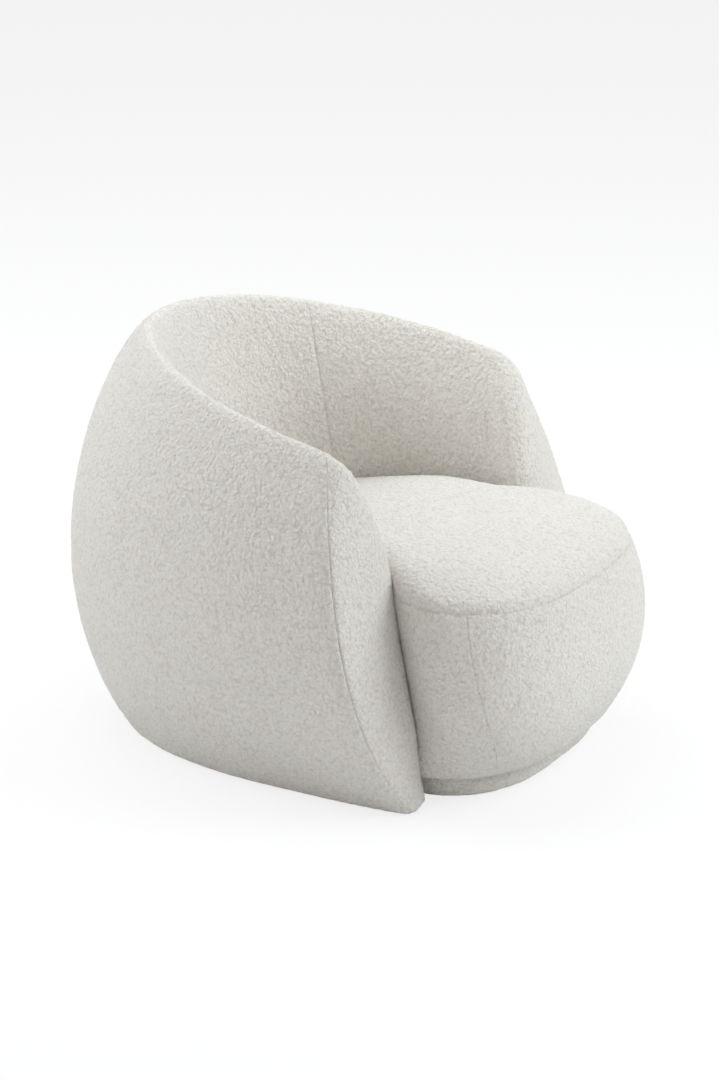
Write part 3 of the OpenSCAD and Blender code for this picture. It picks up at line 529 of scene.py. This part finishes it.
def shell_cloth():
    """Right half of both sides and of the arm front, before nubs and seams."""
    low = HEM / BACK_H
    v = even(lambda f: shell(-1, np.cos(f), np.full_like(f, 0.3)), 0, math.acos(low))
    t = np.cos(v)
    t[0] = 1.0
    t_in = 1 - (1 - t) * (1 - INNER_HEM / BACK_H) / (1 - low)
    u = np.concatenate([even(lambda f: shell(-1, 0.5, f), 0, INNER_SEAM),
                        even(lambda f: shell(-1, 0.5, f), INNER_SEAM, 1)[1:]])
    seam = int(np.argmin(np.abs(u - INNER_SEAM)))
    outer, inner = shell(-1, t[:, None], u[None]), shell(1, t_in[:, None], u[None])
    run = arc(outer, 1)[len(t) // 2]
    near = int(np.argmin(np.abs(run - run[-1] + ROUND_REACH)))
    c = np.linspace(0, 1, LEAF_COLUMNS)
    leaf = mix(outer[:, -1:], inner[:, -1:], c[None, :, None])
    wide = np.linalg.norm(outer[:, -1] - inner[:, -1], axis=-1)
    z = leaf[:, 0, 2]
    swell = mix(*CLOTH_SWELL, ease((z - SEAT_SWELL_Z) / SEAT_SWELL_RISE))
    swell = swell * np.clip(wide / FULL_SWELL_WIDTH, 0, 1) * ease(z / SWELL_RISE_Z)
    leaf[..., 1] -= swell[:, None] * np.sqrt(np.clip(1 - (2 * c ** LEAF_FULLNESS - 1) ** 2, 0, 1))[None]
    for r in range(len(t)):
        path = np.concatenate([outer[r, near:], leaf[r, 1:-1], inner[r, near:][::-1]])
        s = length_along(path)
        ends = len(u) - near
        top = 1 - ease(wide[r] / TOP_ROUND_WIDTH)
        outer_edge = softened(path, s, mix(OUTER_ROUND, TOP_ROUND, top))
        inner_edge = softened(path, s, mix(INNER_ROUND, TOP_ROUND, top))
        share = ease((s - s[ends - 1]) / max(s[-ends] - s[ends - 1], 1e-6))
        fade = ease(np.minimum(s, s[-1] - s) / ROUND_FADE)
        path = mix(path, mix(outer_edge, inner_edge, share[:, None]), fade[:, None])
        outer[r, near:], inner[r, near:] = path[:ends], path[-ends:][::-1]
        leaf[r] = path[ends - 1:-ends + 1]
    outer[0], inner[0] = (outer[0] + inner[0]) / 2, (outer[0] + inner[0]) / 2
    run = arc(inner, 1)[-1]
    for p, share in ((leaf, c), (inner, ease(1 - (run[-1] - run) / CORNER_REACH))):
        p[..., 2] += CORNER_LIFT * share * ease(1 - p[..., 2] / CORNER_HEIGHT)
    leaf[0, 0], leaf[0, -1] = outer[0, -1], inner[0, -1]
    return u, seam, outer, inner, leaf


def both(p):
    """Right half of a grid joined with its mirror image."""
    return np.concatenate([(p * [-1, 1, 1])[:, :0:-1], p], 1)


def finish(name, node, p, n, flip, sides, edge):
    """Turns the named borders of a panel in, hems it and makes the piece."""
    p, n = turned_in(p, n, sides)
    piece(name, hemmed(p, n, *edge), flip, [node])


def drape_outer(p, n, mid, depth):
    """Nubs and seams on the outside, in two halves that meet behind."""
    run, down = arc(p, 1), arc(p, 0)
    back = BACK_SEAM_DEPTH * ease(down[:, mid:mid + 1] / BACK_SEAM_FADE)
    push = pile(p) - dip(p, np.abs(run - run[:, mid:mid + 1]), back, down[:, mid:mid + 1])
    ends = dip(p, run[:, -1:] - run, depth, down[:, -1:] + FRONT_START)
    push -= ends + dip(p, run, depth, down[:, :1] + FRONT_START)
    p = p + n * push[..., None]
    for side, part in (("right", slice(mid, None)), ("left", slice(None, mid + 1))):
        name, node = "shell_outer_" + side, "outer_cover_" + side
        finish(name, node, p[:, part], n[:, part], False, ["left", "right"], OUTER_EDGE)


def drape_inner(p, n, mid, seam, edge_swell):
    """Nubs, two upright seams and fuller front edges on the inside, as a back panel and two arm panels."""
    run, down = arc(p, 1), arc(p, 0)
    depth = INNER_SEAM_DEPTH * ease(down[:, mid:mid + 1] / INNER_SEAM_FADE)
    push = pile(p)
    low, high = mid - seam, mid + seam
    for k in (low, high):
        push -= dip(p, np.abs(run - run[:, k:k + 1]), depth, down[:, k:k + 1] + INNER_START * k)
    push += edge_swell * np.exp(-(np.minimum(run, run[:, -1:] - run) / EDGE_SWELL_WIDTH) ** 2)
    p = p + n * push[..., None]
    parts = (("back", slice(low, high + 1), ["left", "right"]), ("right", slice(high, None), ["left"]),
             ("left", slice(None, low + 1), ["right"]))
    for side, part, sides in parts:
        name, node = "shell_inner_" + side, "inner_cover_" + side
        finish(name, node, p[:, part], n[:, part], True, sides, INNER_EDGE)


def drape_leaf(side, p, n, depth, edge_swell):
    """Nubs, the seam along the outer edge and the fuller inner edge on one arm front."""
    gap, down = arc(p, 1), arc(p, 0)
    push = pile(p) - dip(p, gap, depth, down[:, :1] + FRONT_START)
    push += edge_swell * np.exp(-((gap[:, -1:] - gap) / EDGE_SWELL_WIDTH) ** 2)
    p = p + n * push[..., None]
    finish("arm_front_" + side, "arm_front_cover_" + side, p, n, side == "left", ["left"], OUTER_EDGE)


def drape_shell():
    u, seam, outer, inner, right = shell_cloth()
    outer, inner, left = both(outer), both(inner), right * [-1, 1, 1]
    grids = [(outer, False, False), (inner, True, False), (right, False, False), (left, True, False)]
    n_outer, n_inner, n_right, n_left = skin_normals(grids)
    mid = len(u) - 1
    high = outer[:, :1, 2] / np.max(outer[:, :1, 2], 0)
    depth = FRONT_SEAM_DEPTH * ease((FRONT_SEAM_TOP - high) / FRONT_SEAM_FADE)
    edge_swell = EDGE_SWELL * ease((1 - high) / EDGE_SWELL_END)
    edge_swell = edge_swell * ease((high - EDGE_SWELL_LOW) / EDGE_SWELL_RISE)
    drape_outer(outer, n_outer, mid, depth)
    drape_inner(inner, n_inner, mid, seam, edge_swell)
    drape_leaf("right", right, n_right, depth, edge_swell)
    drape_leaf("left", left, n_left, depth, edge_swell)


drape_shell()


# Cloth of the seat

def loop(z, inset, q, neck=NECK):
    """Plan of the whole ring: the right half joined with its mirror image."""
    h = half_ring(z, inset, q, neck)
    return np.concatenate([h, (h * [-1, 1])[-2:0:-1]])


def places(*spans):
    """Places round half the ring, each span as its end and its number of points."""
    q, start = [np.zeros(1)], 0
    for end, count in spans:
        q.append(np.linspace(start, end, count)[1:])
        start = end
    return np.concatenate(q)


def all_round(q):
    """Values for half the ring, repeated backwards for the other half."""
    return np.concatenate([q, q[-2:0:-1]])


def seat_skin(q):
    """Top and band of the seat as grids that share a softly rounded edge, and that edge before rounding."""
    cols = 2 * (len(q) - 1)

    def ring_at(z):
        return loop(z, 0, q, mix(NECK, CLOTH_NECK, ease((z - NECK_LOW_Z) / NECK_RISE)))

    edge = ring_at(SEAM_Z)
    r = np.sin(np.linspace(0, math.pi / 2, round(TOP_RUN / GRID)))
    r[0] = CENTRE
    away = np.minimum(np.arange(cols), cols - np.arange(cols)) * GRID
    spread = np.exp(-0.5 * (away / NECK_BLUR) ** 2)
    spread /= spread.sum()
    full = np.fft.ifft(np.fft.fft(edge, axis=0) * np.fft.fft(spread)[:, None], axis=0).real
    ring = mix(full[None], edge[None], ease((r - 0.5) / 0.5)[:, None, None])
    flat = RING_MID + (ring - RING_MID) * r[:, None, None]
    corner = np.exp(-(np.abs(all_round(q) - 1) / NECK_SPREAD) ** 2)
    power = mix(CROWN_POWER, NECK_POWER, corner)[None, :, None]
    top = np.concatenate([flat, crown_z(flat[..., 1:], r[:, None, None], power)], -1)
    rows = np.linspace(SEAM_Z, SEAT_LOW, round(BAND_RUN / GRID))
    band = np.stack([np.column_stack([ring_at(h), np.full(cols, h)]) for h in rows])
    span = round(EDGE_REACH / GRID)
    for c in range(cols):
        path = np.concatenate([top[-span:, c], band[1:span, c]])
        s = length_along(path)
        fade = ease(np.minimum(s, s[-1] - s) / EDGE_FADE)
        path = mix(path, softened(path, s, SEAT_EDGE), fade[:, None])
        top[-span:, c], band[:span, c] = path[:span], path[span - 1:]
    return top, band, edge


def drape_seat():
    q = places((SIDE_PLACE, round(BACK_RUN / GRID)), (FRONT_PLACE, round(SIDE_RUN / GRID)),
               (2, round(FRONT_RUN / GRID)))
    i_side, i_front = int(np.argmin(np.abs(q - SIDE_PLACE))), int(np.argmin(np.abs(q - FRONT_PLACE)))
    top, band, edge = seat_skin(q)
    cols = len(edge)
    n_top, n_band = skin_normals([(top, False, True), (band, False, True)])
    down, run, along = arc(band, 0), run_round(band), run_round(edge[None])
    gap = arc(top, 0)[-1:] - arc(top, 0)
    top = top + n_top * (pile(top) - dip(top, gap, TOP_SEAM_DEPTH, along))[..., None]
    push = pile(band) - dip(band, down, TOP_SEAM_DEPTH, along)
    ahead = ease((all_round(q) - BAND_SWELL_PLACE) / BAND_SWELL_RUN)
    push += BAND_SWELL * ahead * np.sin(math.pi * (band[..., 2] - SEAT_LOW) / (SEAM_Z - SEAT_LOW))
    for k in (i_front, cols - i_front):
        push -= dip(band, np.abs(run - run[:, k:k + 1]), BAND_SEAM_DEPTH, down[:, k:k + 1] + BAND_START * k)
    band = band + n_band * push[..., None]
    p, _ = turned_in(top, n_top, ["bottom"])
    p = np.concatenate([np.broadcast_to(p[:1].mean((0, 1)), p[:1].shape), p], 0)
    piece("seat_top", p, False, ["seat_top_cover"], closed=True)

    def panel(name, a, b, nodes, sides, stuff=None):
        k = np.arange(a, b + 1) % cols
        p, n = turned_in(band[:, k], n_band[:, k], sides + ["top"])
        piece(name, hemmed(p, n, *BAND_EDGE, BAND_TURN, BAND_ROLL), False, nodes, stuff=stuff)

    panel("seat_band_front_panel", i_front, cols - i_front, ["seat_band_front"], ["left", "right"])
    panel("seat_band_right_panel", i_side, i_front, ["seat_band_right"], ["right"])
    panel("seat_band_left_panel", cols - i_front, cols - i_side, ["seat_band_left"], ["left"])
    lining = STUFFS["lining"]
    panel("seat_band_back_panel", cols - i_side, cols + i_side, ["seat_band_back"], [], lining)


drape_seat()


def drape_plinth():
    q = places((1, round(PLINTH_BACK_RUN / GRID)), (2, round(PLINTH_FRONT_RUN / GRID)))
    edge = loop(SEAT_LOW, PLINTH_INSET, q)
    cols = len(edge)
    rows = np.linspace(SEAT_LOW - 0.5, INNER_HEM - 4, round(PLINTH_RUN / GRID) + 3)
    p = np.stack([np.column_stack([edge, np.full(cols, h)]) for h in rows])
    n, = skin_normals([(p, False, True)])
    run = run_round(p)
    push = pile(p) + PLINTH_SWELL * np.sin(np.linspace(0, math.pi, len(rows)))[:, None]
    k = int(np.argmin(np.abs(q - PLINTH_PLACE)))
    for c in (k, cols - k):
        push -= dip(p, np.abs(run - run[:, c:c + 1]), PLINTH_SEAM_DEPTH, p[:, :1, 2])
    p = p + n * push[..., None]
    piece("plinth_skin", hemmed(p, n, *PLINTH_EDGE), False, ["plinth_cover"], closed=True)


drape_plinth()


# Padding, straps and the cloth underneath, hidden in the finished chair and made coarser

def block(name, outside, inside, nodes, stuff, slot, fill=1.0, ring=False):
    """A closed form between two grids of the same size; a ring also joins its first and last columns."""
    rows, cols = outside.shape[:2]
    total = rows * cols
    a = quads(rows, cols, ring)
    faces = a.tolist() + (a[:, ::-1] + total).tolist()
    top = np.arange(cols)
    edges = [(top, False), (top + (rows - 1) * cols, True)]
    if not ring:
        edges += [(np.arange(rows) * cols, True), (np.arange(rows) * cols + cols - 1, False)]
    for line, turn in edges:
        line = np.append(line, line[0]) if ring else line
        for i, j in zip(line[:-1], line[1:]):
            f = [int(j), int(i), int(i) + total, int(j) + total]
            faces.append(f[::-1] if turn else f)
    points = np.concatenate([outside.reshape(-1, 3), inside.reshape(-1, 3)])
    return solid(name, points, faces, nodes, stuff)


def pad_at(side, t):
    """How deep the shell's padding reaches at level t."""
    return mix(FOOT_PAD, PAD[side], ease(t / 0.4))


def shell_padding():
    t = np.concatenate([[0.985, 0.97, 0.945, 0.9], np.linspace(0.84, 0.012, 26)])[:, None]
    u = np.linspace(0, 0.965, 40)[None]
    for side, name, node in ((-1, "outer_padding", "outer_foam"), (1, "inner_padding", "inner_foam")):
        half = np.abs(section(-1, t, u, SIDE) - section(1, t, u, SIDE)) / 2
        outside = shell(side, t, u, np.minimum(UNDER, half * 0.5))
        inside = shell(side, t, u, np.minimum(pad_at(side, t), half * 0.96))
        for p, drop in ((outside, 5), (inside, 9)):
            p[..., 2] -= drop * t ** 6
            if side > 0:
                p[..., 2] += CORNER_LIFT * ease((u - 0.75) / 0.2) * ease(1 - p[..., 2] / CORNER_HEIGHT)
        grids = [both(outside), both(inside)]
        block(name, *(grids if side > 0 else [g[:, ::-1] for g in grids]), [node], STUFFS["foam"], "foam")


def arm_padding():
    """A thin pad behind the cloth of each arm front."""
    t = np.linspace(0.93, 0.012, 26)[:, None]
    one = np.ones_like(t)
    a, b = shell(-1, t, one, UNDER)[:, 0], shell(1, t, one, UNDER)[:, 0]
    c = np.linspace(0.03, 0.97, 9)
    face = mix(a[:, None], b[:, None], c[None, :, None])
    wide = np.linalg.norm(a - b, axis=-1)[:, None]
    low = ease(face[..., 2] / SWELL_RISE_Z)
    swell = FRONT_SWELL * low * np.sqrt(1 - (2 * c - 1) ** 2)[None] * np.clip(wide / FULL_SWELL_WIDTH, 0, 1)
    face[..., 1] += ARM_PAD - swell
    face[..., 2] += (CORNER_LIFT * c + ARM_PAD_LIFT) * ease(1 - face[..., 2] / CORNER_HEIGHT)
    rear = face + [0, ARM_PAD, 0]
    block("arm_padding_right", face[:, ::-1], rear[:, ::-1], ["arm_front_foam_right"], STUFFS["foam"], "foam")
    flip = np.array([-1, 1, 1])
    block("arm_padding_left", face * flip, rear * flip, ["arm_front_foam_left"], STUFFS["foam"], "foam")


def drawn_in(row, k):
    """A level row round the seat, drawn in towards the middle of the ring."""
    mid = np.array([*RING_MID, row[0, 2]])
    return mid + (row - mid) * k


def seat_padding():
    q = places((1, 18), (2, 18))

    def level(z, inset):
        ring = loop(z, inset, q)
        return np.column_stack([ring, np.full(len(ring), z)])

    band_top, core_top, core_low = SEAT_LOW + 188, 322.0, SEAT_LOW + 192
    topper_low = core_top + 0.4
    r = np.array([0.02, 0.3, 0.55, 0.75, 0.88, 0.96, 1.0])
    ring = loop(SEAM_Z, UNDER, q)
    crown = np.stack([np.column_stack([RING_MID + (ring - RING_MID) * k, np.zeros(len(ring))]) for k in r])
    crown[..., 2] = crown_z(crown[..., 1], r[:, None]) - TOPPER_DROP
    crown = np.concatenate([crown, level(topper_low, UNDER)[None]])
    base = crown * [1, 1, 0] + [0, 0, topper_low]
    block("seat_padding_top", crown, base, ["seat_topper"], STUFFS["foam"], "foam", ring=True)
    sides = np.stack([level(z, UNDER) for z in np.linspace(core_top, core_low, 5)])
    core = np.concatenate([drawn_in(sides[0], 0.02)[None], sides, drawn_in(sides[-1], 0.02)[None]])
    faces = quads(*core.shape[:2], True).tolist()
    solid("seat_padding_core", core.reshape(-1, 3), faces, ["seat_foam_core"], STUFFS["foam"])
    heights = np.append(np.linspace(band_top, SEAT_LOW + BAND_ROLL, 6), SEAT_LOW + np.array([10, 6.5, 4]))
    out = np.stack([level(z, UNDER + rolled(z - SEAT_LOW, BAND_ROLL)) for z in heights])
    inn = np.stack([level(z, UNDER + BAND_PAD + band_off(z) - band_off(SEAT_LOW)) for z in heights])
    block("seat_padding_band", out, inn, ["seat_band_pad"], STUFFS["foam"], "foam", ring=True)


shell_padding()
arm_padding()
seat_padding()


def straps(name, node, lines):
    """Flat elastic straps, each a grid of points, that sag a little between what holds them."""
    points, faces, area, length = [], [], 0.0, 0.0
    for a in lines:
        for p in (a, a - [0, 0, STRAP_THICK]):
            start = sum(len(x) for x in points)
            f = quads(*p.shape[:2])
            faces += ((f if p is a else f[:, ::-1]) + start).tolist()
            points.append(p.reshape(-1, 3))
        area += arc(a, 0)[-1].mean() * arc(a, 1)[:, -1].mean() * MM * MM
        length += arc(a, 0)[-1].mean() * MM
    ob = solid(name, np.concatenate(points), faces, [node], STUFFS["webbing"])


def seat_straps():
    """Two layers of straps, each strap where the part has it."""
    for axis, node in ((0, "seat_webbing_long"), (1, "seat_webbing_cross")):
        co = np.array([v.co for v in frame["nodes"][node].data.vertices]) / MM
        across, along = co[:, axis], co[:, 1 - axis]
        number = np.round((across - across.min() - STRAP_HALF_W) / STRAP_PITCH).astype(int)
        lines = []
        for k in sorted(set(number)):
            own = number == k
            low, high = along[own].min(), along[own].max()
            s, w = np.linspace(0, 1, 24), np.linspace(across[own].min(), across[own].max(), 5)
            g = np.zeros((24, 5, 3))
            g[..., axis] = w[None]
            g[..., 1 - axis] = mix(low, high, s)[:, None]
            g[..., 2] = co[own, 2].max() - STRAP_SAG * np.sin(math.pi * s)[:, None]
            lines.append(g if axis == 0 else g[:, ::-1])
        straps(node + "_straps", node, lines)


def back_straps():
    """Four straps across the back, between the corner ribs."""
    lines = []
    u = np.linspace(0, INNER_SEAM - 0.01, 20)[None]
    levels = 0.78 * np.array([1, 0.8, 0.6, 0.4, 0.22])
    for k in range(4):
        t = mix(levels[k], levels[k + 1], np.linspace(0.27, 0.73, 5))[:, None]
        lines.append(both(shell(1, t, u, pad_at(1, t) + 2.0)).transpose(1, 0, 2))
    straps("back_webbing_straps", "back_webbing", lines)


def dust_sheet():
    """Cloth stretched below the plinth, highest in the middle."""
    edge = loop(SEAT_LOW, PLINTH_INSET + DUST_INSET, places((1, 40), (2, 40)))
    r = np.linspace(0.01, 1, 24)
    p = np.stack([np.column_stack([RING_MID + (edge - RING_MID) * k,
                                   np.full(len(edge), DUST_Z) + DUST_RISE * (1 - k ** 2)]) for k in r])
    p[..., 2] += 0.5 * smooth_noise(p, 60.0, 51) * (1 - r[:, None] ** 4)
    stuff = STUFFS["dust_cloth"]
    ob = piece("dust_cloth_sheet", p, True, ["dust_cover"], True, stuff)


seat_straps()
back_straps()
dust_sheet()


# Floor, background, light and camera

def plain_ground():
    """Pale floor, brightened only where the camera sees it."""
    bpy.ops.mesh.primitive_plane_add(size=FLOOR_SIZE, location=(0, 0, 0))
    floor = bpy.context.object
    floor.name = "floor"
    m, nodes, links, shader = new_material("pale_floor")
    shader.inputs["Base Color"].default_value = (FLOOR_SHADE, FLOOR_SHADE, FLOOR_SHADE, 1)
    shader.inputs["Roughness"].default_value = 0.9
    glow = nodes.new("ShaderNodeEmission")
    seen = nodes.new("ShaderNodeLightPath").outputs["Is Camera Ray"]
    mixed = nodes.new("ShaderNodeMixShader")
    links.new(maths(nodes, links, "MULTIPLY", seen, FLOOR_GLOW), mixed.inputs["Fac"])
    links.new(shader.outputs[0], mixed.inputs[1])
    links.new(glow.outputs[0], mixed.inputs[2])
    links.new(mixed.outputs[0], nodes["Material Output"].inputs["Surface"])
    floor.data.materials.append(m)


def white_world():
    """White for camera, mirror and glass rays, and a soft fill for all others."""
    world = bpy.data.worlds.new("studio")
    bpy.context.scene.world = world
    world.use_nodes = True
    nodes, links = world.node_tree.nodes, world.node_tree.links
    nodes.clear()
    path = nodes.new("ShaderNodeLightPath")
    seen = maths(nodes, links, "MAXIMUM", path.outputs["Is Camera Ray"], path.outputs["Is Glossy Ray"])
    seen = maths(nodes, links, "MAXIMUM", seen, path.outputs["Is Transmission Ray"])
    fill, white = nodes.new("ShaderNodeBackground"), nodes.new("ShaderNodeBackground")
    white.inputs["Color"].default_value = (1, 1, 1, 1)
    fill.inputs["Color"].default_value = (*FILL_COLOUR, 1)
    fill.inputs["Strength"].default_value = FILL_STRENGTH
    mixed, out = nodes.new("ShaderNodeMixShader"), nodes.new("ShaderNodeOutputWorld")
    links.new(seen, mixed.inputs["Fac"])
    links.new(fill.outputs[0], mixed.inputs[1])
    links.new(white.outputs[0], mixed.inputs[2])
    links.new(mixed.outputs[0], out.inputs["Surface"])


def softbox(name, place, size, watts, colour):
    """A round soft lamp aimed at the chair."""
    lamp = bpy.data.lights.new(name, "AREA")
    lamp.shape, lamp.size, lamp.energy, lamp.color = "DISK", size, watts, colour
    ob = bpy.data.objects.new(name, lamp)
    ob.location = place
    ob.rotation_euler = (Vector(LAMP_AIM) - Vector(place)).to_track_quat("-Z", "Y").to_euler()
    bpy.context.scene.collection.objects.link(ob)


plain_ground()
white_world()
softbox("key", (1.6, -3.0, 2.7), 3.0, 120, (0.92, 0.965, 1.0))
softbox("top", (0.5, 1.0, 3.3), 2.6, 46, (0.925, 0.965, 1.0))
softbox("rim", (-1.3, 3.4, 2.7), 2.4, 84, (0.94, 0.97, 1.0))

camera = bpy.data.cameras.new("camera")
camera.sensor_fit, camera.sensor_width, camera.lens = "AUTO", SENSOR_WIDTH, CAMERA_LENS
eye = bpy.data.objects.new("camera", camera)
eye.location = CAMERA_AT
eye.rotation_euler = (Vector(CAMERA_AIM) - eye.location).to_track_quat("-Z", "Y").to_euler()
bpy.context.scene.collection.objects.link(eye)
bpy.context.scene.camera = eye
bpy.context.scene.view_settings.view_transform = "Standard"
